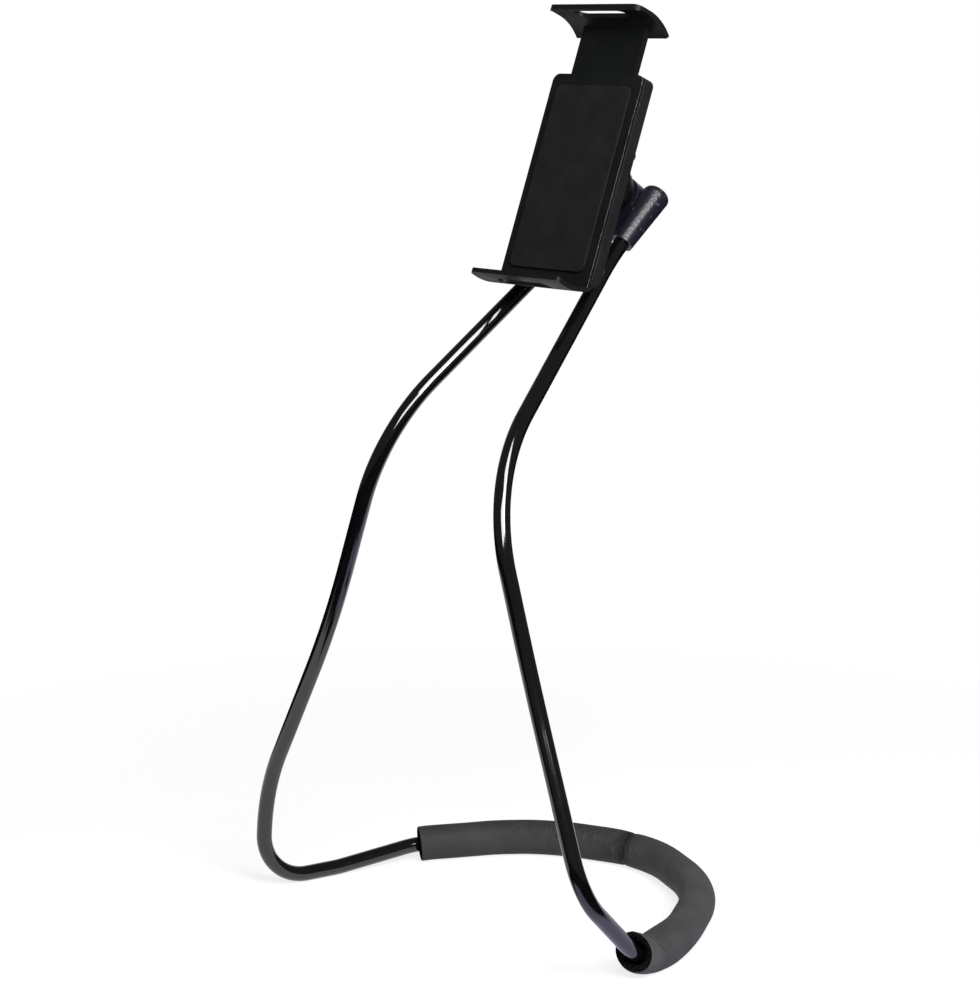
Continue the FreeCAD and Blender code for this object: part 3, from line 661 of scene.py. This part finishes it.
def foam_relief(tree, travel):
    """Fine cells, and patches of wrinkles across the sleeve that are strongest by its crease."""
    cells = bumped(tree, cloud(tree, CELL_CLOUD, detail=2.0), CELL_DEPTH)
    wrinkles = sleeve_cloud(tree, WRINKLE_WAVES, detail=3.0)
    patches = ranged(tree, sleeve_cloud(tree, PATCH_WAVES, detail=2.0), 0.0, 1.0, *PATCH_SHOWN)
    started = ranged(tree, travel, WRINKLE_REST, 1.0, *WRINKLE_RISE)
    ended = ranged(tree, travel, 1.0, WRINKLE_REST, *WRINKLE_FALL)
    here = combined(tree, "MULTIPLY", patches, combined(tree, "MULTIPLY", started, ended))
    creased = combined(tree, "MULTIPLY", wrinkles, here)
    return bumped(tree, creased, WRINKLE_DEPTH, under=cells)


def foam_skin():
    """Charcoal foam with a closed skin."""
    made, tree, shader = material("foam_charcoal", FOAM_TONE, FOAM_ROUGHNESS, FOAM_SPECULAR)
    travel, turn = flat_parts(tree, sleeve_map(tree))
    tree.links.new(foam_tone(tree, travel, turn), shader.inputs["Base Color"])
    tree.links.new(foam_relief(tree, travel), shader.inputs["Normal"])
    return made


def foam_cut():
    """Open cells of the cut ends and the bore, darker than the skin."""
    made, tree, shader = material("foam_cut", CUT_TONE, CUT_ROUGHNESS, specular=0.0)
    cells = cloud(tree, CUT_CLOUD, detail=3.0)
    tone = toned(tree, ranged(tree, cells, 0.0, 1.0, *CUT_SHOWN), CUT_DARK, CUT_LIGHT)
    tree.links.new(tone, shader.inputs["Base Color"])
    tree.links.new(bumped(tree, cells, CUT_DEPTH), shader.inputs["Normal"])
    return made


FOAM = foam_skin()
FOAM_CUT = foam_cut()
ROD_GLOSS = grained(
    "rod_gloss", (0.0016, 0.0016, 0.0019),
    roughness=0.07, specular=0.75, grain=160.0, depth=0.00002)
YOKE_SATIN = grained(
    "yoke_satin", (0.005, 0.0054, 0.009),
    roughness=0.30, specular=0.36, grain=800.0, depth=0.00014, scuffs=(0.07, 0.07, 0.08))
# Pale eased edges of the yoke and its sockets: a painted highlight.
YOKE_EDGE_HIGHLIGHT = grained(
    "yoke_edge_highlight", (0.10, 0.10, 0.11),
    roughness=0.40, specular=0.5, grain=1500.0, depth=0.00003)
CLAMP_SATIN = grained(
    "clamp_satin", (0.0060, 0.0062, 0.0065),
    roughness=0.42, specular=0.22, grain=2400.0, depth=0.00003)
# Pale eased edges of the housing: a painted highlight.
CLAMP_EDGE_HIGHLIGHT = grained(
    "clamp_edge_highlight", (0.20, 0.205, 0.21),
    roughness=0.35, specular=0.5, grain=2400.0, depth=0.00002)
JAW_GLOSS = grained(
    "jaw_gloss", (0.0042, 0.0046, 0.0048),
    roughness=0.40, specular=0.09, grain=700.0, depth=0.00001)
JAW_EDGE = grained(
    "jaw_edge", (0.010, 0.010, 0.011),
    roughness=0.50, specular=0.25, grain=900.0, depth=0.00001)
# Pale line down the plate's right side: a painted highlight.
PLATE_SIDE_HIGHLIGHT = grained(
    "plate_side_highlight", (0.50, 0.51, 0.52),
    roughness=0.25, specular=0.5, grain=900.0, depth=0.00001)
NUT_SATIN = grained(
    "nut_satin", (0.0025, 0.0025, 0.0028),
    roughness=0.45, specular=0.22, grain=2400.0, depth=0.00003)
PAD_RUBBER = grained(
    "pad_rubber", (0.0055, 0.0055, 0.006),
    roughness=0.75, specular=0.12, grain=1800.0, depth=0.00006)
SEAT_PLASTIC = grained(
    "seat_plastic", (0.70, 0.70, 0.66),
    roughness=0.45, specular=0.5, grain=1500.0, depth=0.00002)
SCREW_BLACK = grained(
    "screw_black", (0.020, 0.020, 0.022),
    roughness=0.30, specular=0.6, grain=1200.0, depth=0.00002)
CORE_WIRE = grained(
    "core_wire", (0.70, 0.70, 0.72),
    roughness=0.35, specular=0.5, grain=800.0, depth=0.00001, metallic=1.0)
STEEL = grained(
    "plated_steel", (0.50, 0.50, 0.52),
    roughness=0.30, specular=0.5, grain=900.0, depth=0.00001, metallic=1.0)


# Finished pieces

def dress(piece, *made):
    """Give a piece its materials."""
    if len(piece.data.materials):
        piece.data.materials.clear()
    for each in made:
        piece.data.materials.append(each)


def settle(piece, body, slot, made, *replaced):
    """Dress a piece, fix it to its body and hide the nodes it stands for; the slot is not used."""
    dress(piece, *made)
    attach(piece, body)
    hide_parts(*replaced)


def welded(name):
    """Copy of a rigid solid's mesh with its triangles joined to whole faces."""
    piece = new_piece(name + "_skin", NODES[name].data.copy())
    mesh = bmesh.new()
    mesh.from_mesh(piece.data)
    bmesh.ops.remove_doubles(mesh, verts=mesh.verts, dist=WELD * MM)
    flat = radians(FLAT_ANGLE)
    bmesh.ops.dissolve_limit(mesh, angle_limit=flat, verts=mesh.verts, edges=mesh.edges)
    for face in mesh.faces:
        face.smooth = True
    mesh.to_mesh(piece.data)
    mesh.free()
    if "custom_normal" in piece.data.attributes:
        piece.data.attributes.remove(piece.data.attributes["custom_normal"])
    return piece


def eased(name, edge, own_edges=False):
    """Copy of a rigid solid's mesh with its sharp edges eased, the eased faces in a second material
    where wanted, which on the yoke and housing is a painted highlight.
    """
    piece = welded(name)
    bevel = piece.modifiers.new("ease", "BEVEL")
    bevel.width = edge * MM
    bevel.segments = EASE_STEPS
    bevel.limit_method = "ANGLE"
    bevel.angle_limit = radians(SHARP_ANGLE)
    bevel.harden_normals = True
    if own_edges:
        bevel.material = EDGE_MATERIAL
    return piece


def keep_shown(piece):
    """Keep a piece's mesh as its modifiers show it."""
    bpy.context.view_layer.update()
    shown = piece.evaluated_get(bpy.context.evaluated_depsgraph_get())
    finished = bpy.data.meshes.new_from_object(shown)
    piece.modifiers.clear()
    piece.data = finished


def paint_side_highlight(piece):
    """Give the eased edge down the plate's right side its own pale material: a painted highlight."""
    keep_shown(piece)
    for face in piece.data.polygons:
        place = face.center / MM - CLAMP_ORIGIN
        beside = place.x > HIGHLIGHT_SIDE and place.dot(ALONG) > HIGHLIGHT_FROM
        if face.material_index == EDGE_MATERIAL and beside:
            face.material_index = SIDE_HIGHLIGHT


def recessed_screws():
    """The four screws with a cross recess in each head."""
    piece = welded("housing_screws")
    cutter_mesh = bmesh.new()
    top = CLAMP_DEPTH + SCREW_HEAD_HEIGHT
    turn = Matrix((Vector((1, 0, 0)), BACK, ALONG)).transposed().to_4x4()
    for x in (-SCREW_X, SCREW_X):
        for height in SCREW_HEIGHTS:
            centre = (CLAMP_ORIGIN + clamp_vector(x, top, height)) * MM
            for wide, tall in ((RECESS_LENGTH, RECESS_WIDTH), (RECESS_WIDTH, RECESS_LENGTH)):
                size = Matrix.Diagonal((wide * MM, 2 * RECESS_DEPTH * MM, tall * MM, 1.0))
                place = Matrix.Translation(centre) @ turn @ size
                bmesh.ops.create_cube(cutter_mesh, size=1.0, matrix=place)
    data = bpy.data.meshes.new("recess")
    cutter_mesh.to_mesh(data)
    cutter_mesh.free()
    cutter = new_piece("recess", data)
    cut = piece.modifiers.new("recess", "BOOLEAN")
    cut.operation = "DIFFERENCE"
    cut.use_self = True
    cut.object = cutter
    keep_shown(piece)
    bpy.data.objects.remove(cutter)
    return piece


def draw_spring(name):
    """Copy of a spring that runs from the housing's post to the jaw."""
    piece = new_piece(name + "_skin", NODES[name].data.copy())
    dress(piece, STEEL)
    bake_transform(piece)
    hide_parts(name)


settle(rod, "gooseneck", "rod_sheath", [ROD_GLOSS], "gooseneck_sheath")
settle(foam, "gooseneck", "foam", [FOAM, FOAM_CUT], "neck_foam_sleeve")
yoke = eased("twin_socket_yoke", YOKE_EASE, own_edges=True)
settle(yoke, "gooseneck", "yoke", [YOKE_SATIN, YOKE_EDGE_HIGHLIGHT], "twin_socket_yoke")
housing = eased("rear_housing", HOUSING_EASE, own_edges=True)
settle(housing, "clamp", "clamp_shell", [CLAMP_SATIN, CLAMP_EDGE_HIGHLIGHT], "rear_housing")
plate = eased("front_plate", PLATE_EASE, own_edges=True)
settle(plate, "clamp", "jaw_gloss", [JAW_GLOSS, JAW_EDGE, PLATE_SIDE_HIGHLIGHT], "front_plate")
paint_side_highlight(plate)
settle(eased("front_pad", PAD_EASE), "clamp", "pad", [PAD_RUBBER], "front_pad")
jaw = eased("upper_jaw", JAW_EASE, own_edges=True)
settle(jaw, "jaw", "jaw_gloss", [JAW_GLOSS, JAW_EDGE], "upper_jaw")
settle(eased("lock_nut", NUT_EASE), "nut", "nut", [NUT_SATIN], "lock_nut")
settle(recessed_screws(), "clamp", "steel", [SCREW_BLACK], "housing_screws")
dress(NODES["gooseneck_core"], CORE_WIRE)
for name in ("ball_seat_cup", "ball_seat_ring"):
    dress(NODES[name], SEAT_PLASTIC)
draw_spring("jaw_spring_left")
draw_spring("jaw_spring_right")


# Stage, light and camera

def camera():
    """Camera on the part's right front, a little above it."""
    data = bpy.data.cameras.new("camera")
    data.lens = CAMERA_LENS
    data.sensor_width = SENSOR
    made = new_piece("camera", data)
    made.location = CAMERA_PLACE
    made.rotation_euler = (radians(90 - CAMERA_PITCH), 0, radians(CAMERA_AZIMUTH))
    bpy.context.scene.camera = made


def area_light(name, place, axis, length):
    """Soft box that faces the part, with its length along an axis."""
    data = bpy.data.lights.new(name, "AREA")
    data.shape = "RECTANGLE"
    data.size = length
    data.size_y = LAMP_WIDTH
    data.energy = LAMP_POWER
    made = new_piece(name, data)
    back = (Vector(place) - Vector(LIT_POINT)).normalized()
    along = Vector(axis)
    wide = (along - back * along.dot(back)).normalized()
    turn = Matrix((wide, back.cross(wide), back)).transposed().to_4x4()
    made.matrix_world = Matrix.Translation(place) @ turn


def towards_backdrop(tree, vector):
    """How far a place lies, or a ray looks, towards the backdrop."""
    made = tree.nodes.new("ShaderNodeVectorMath")
    made.operation = "DOT_PRODUCT"
    made.inputs[1].default_value = BACKDROP_WAY
    tree.links.new(vector, made.inputs[0])
    return made.outputs["Value"]


def ray_kinds(tree):
    """Whether a ray comes straight from the camera, and whether it is reflected or passes through."""
    paths = tree.nodes.new("ShaderNodeLightPath").outputs
    reflected = combined(tree, "MAXIMUM", paths["Is Glossy Ray"], paths["Is Transmission Ray"])
    return paths["Is Camera Ray"], reflected


def floor_sheet(tree):
    """White sheet on the floor in reflections, the white over the shadow, and the sheet's tint.

    The sheet lies behind the part, with an apron on its left and a tinted corner on its right.
    """
    place = tree.nodes.new("ShaderNodeNewGeometry").outputs["Position"]
    ahead = towards_backdrop(tree, place)
    x, y = flat_parts(tree, place)
    front = ranged(tree, ahead, 0.0, 1.0, *SHEET_FRONT)
    apron = combined(
        tree, "MULTIPLY",
        ranged(tree, x, 1.0, 0.0, *APRON_SIDE),
        ranged(tree, ahead, 0.0, 1.0, *APRON_FRONT))
    corner = combined(
        tree, "MULTIPLY",
        ranged(tree, x, 0.0, 1.0, *CORNER_SIDE),
        ranged(tree, y, 0.0, 1.0, *CORNER_FRONT))
    side = ranged(tree, x, 1.0, 0.0, *SHEET_SIDE)
    away = tree.nodes.new("ShaderNodeVectorMath")
    away.operation = "LENGTH"
    tree.links.new(place, away.inputs[0])
    near_by = ranged(tree, away.outputs["Value"], 1.0, 0.0, *SHEET_REACH)
    over_shadow = ranged(tree, away.outputs["Value"], SHADOW_HIDDEN, 1.0, *SHADOW_REACH)
    sheet = combined(tree, "MAXIMUM", combined(tree, "MAXIMUM", front, apron), corner)
    sheet = combined(tree, "MULTIPLY", combined(tree, "MULTIPLY", sheet, side), near_by)
    return sheet, over_shadow, toned(tree, corner, WHITE, CORNER_TINT)


def stage():
    """White floor: plain white to the camera but for a soft shadow, and a sheet in reflections."""
    bpy.ops.mesh.primitive_plane_add(size=FLOOR_SIZE)
    floor = bpy.context.object
    floor.name = "floor"
    made, tree, shader = material("floor_white", FLOOR_TONE, FLOOR_ROUGHNESS, specular=0.0)
    sheet, over_shadow, tint = floor_sheet(tree)
    to_camera, reflected = ray_kinds(tree)
    glow = tree.nodes.new("ShaderNodeEmission")
    tree.links.new(combined(tree, "MAXIMUM", to_camera, sheet), glow.inputs["Strength"])
    tree.links.new(toned(tree, reflected, WHITE, tint), glow.inputs["Color"])
    seen = combined(tree, "MULTIPLY", to_camera, over_shadow)
    mix = tree.nodes.new("ShaderNodeMixShader")
    tree.links.new(combined(tree, "MAXIMUM", seen, reflected), mix.inputs["Fac"])
    tree.links.new(shader.outputs["BSDF"], mix.inputs[1])
    tree.links.new(glow.outputs["Emission"], mix.inputs[2])
    tree.links.new(mix.outputs["Shader"], tree.nodes["Material Output"].inputs["Surface"])
    made.cycles.emission_sampling = "NONE"
    dress(floor, made)


def world():
    """White to the camera, a backdrop card behind the part in reflections, and an even fill."""
    made = bpy.data.worlds.new("studio")
    bpy.context.scene.world = made
    made.use_nodes = True
    made.cycles.sampling_method = "NONE"
    tree = made.node_tree
    look = tree.nodes.new("ShaderNodeTexCoord").outputs["Generated"]
    card = ranged(tree, towards_backdrop(tree, look), ROOM_GLOW, 1.0, *CARD_EDGE)
    to_camera, reflected = ray_kinds(tree)
    seen = combined(tree, "MAXIMUM", to_camera, combined(tree, "MULTIPLY", reflected, card))
    direct = combined(tree, "MAXIMUM", to_camera, reflected)
    fill = combined(tree, "MULTIPLY", combined(tree, "SUBTRACT", 1.0, direct), FILL)
    background = tree.nodes["Background"]
    background.inputs["Color"].default_value = (*WHITE, 1.0)
    tree.links.new(combined(tree, "ADD", seen, fill), background.inputs["Strength"])


bpy.context.scene.view_settings.view_transform = "Standard"
camera()
stage()
world()
area_light("high", HIGH_PLACE, HIGH_AXIS, HIGH_LENGTH)
area_light("low", LOW_PLACE, LOW_AXIS, LOW_LENGTH)
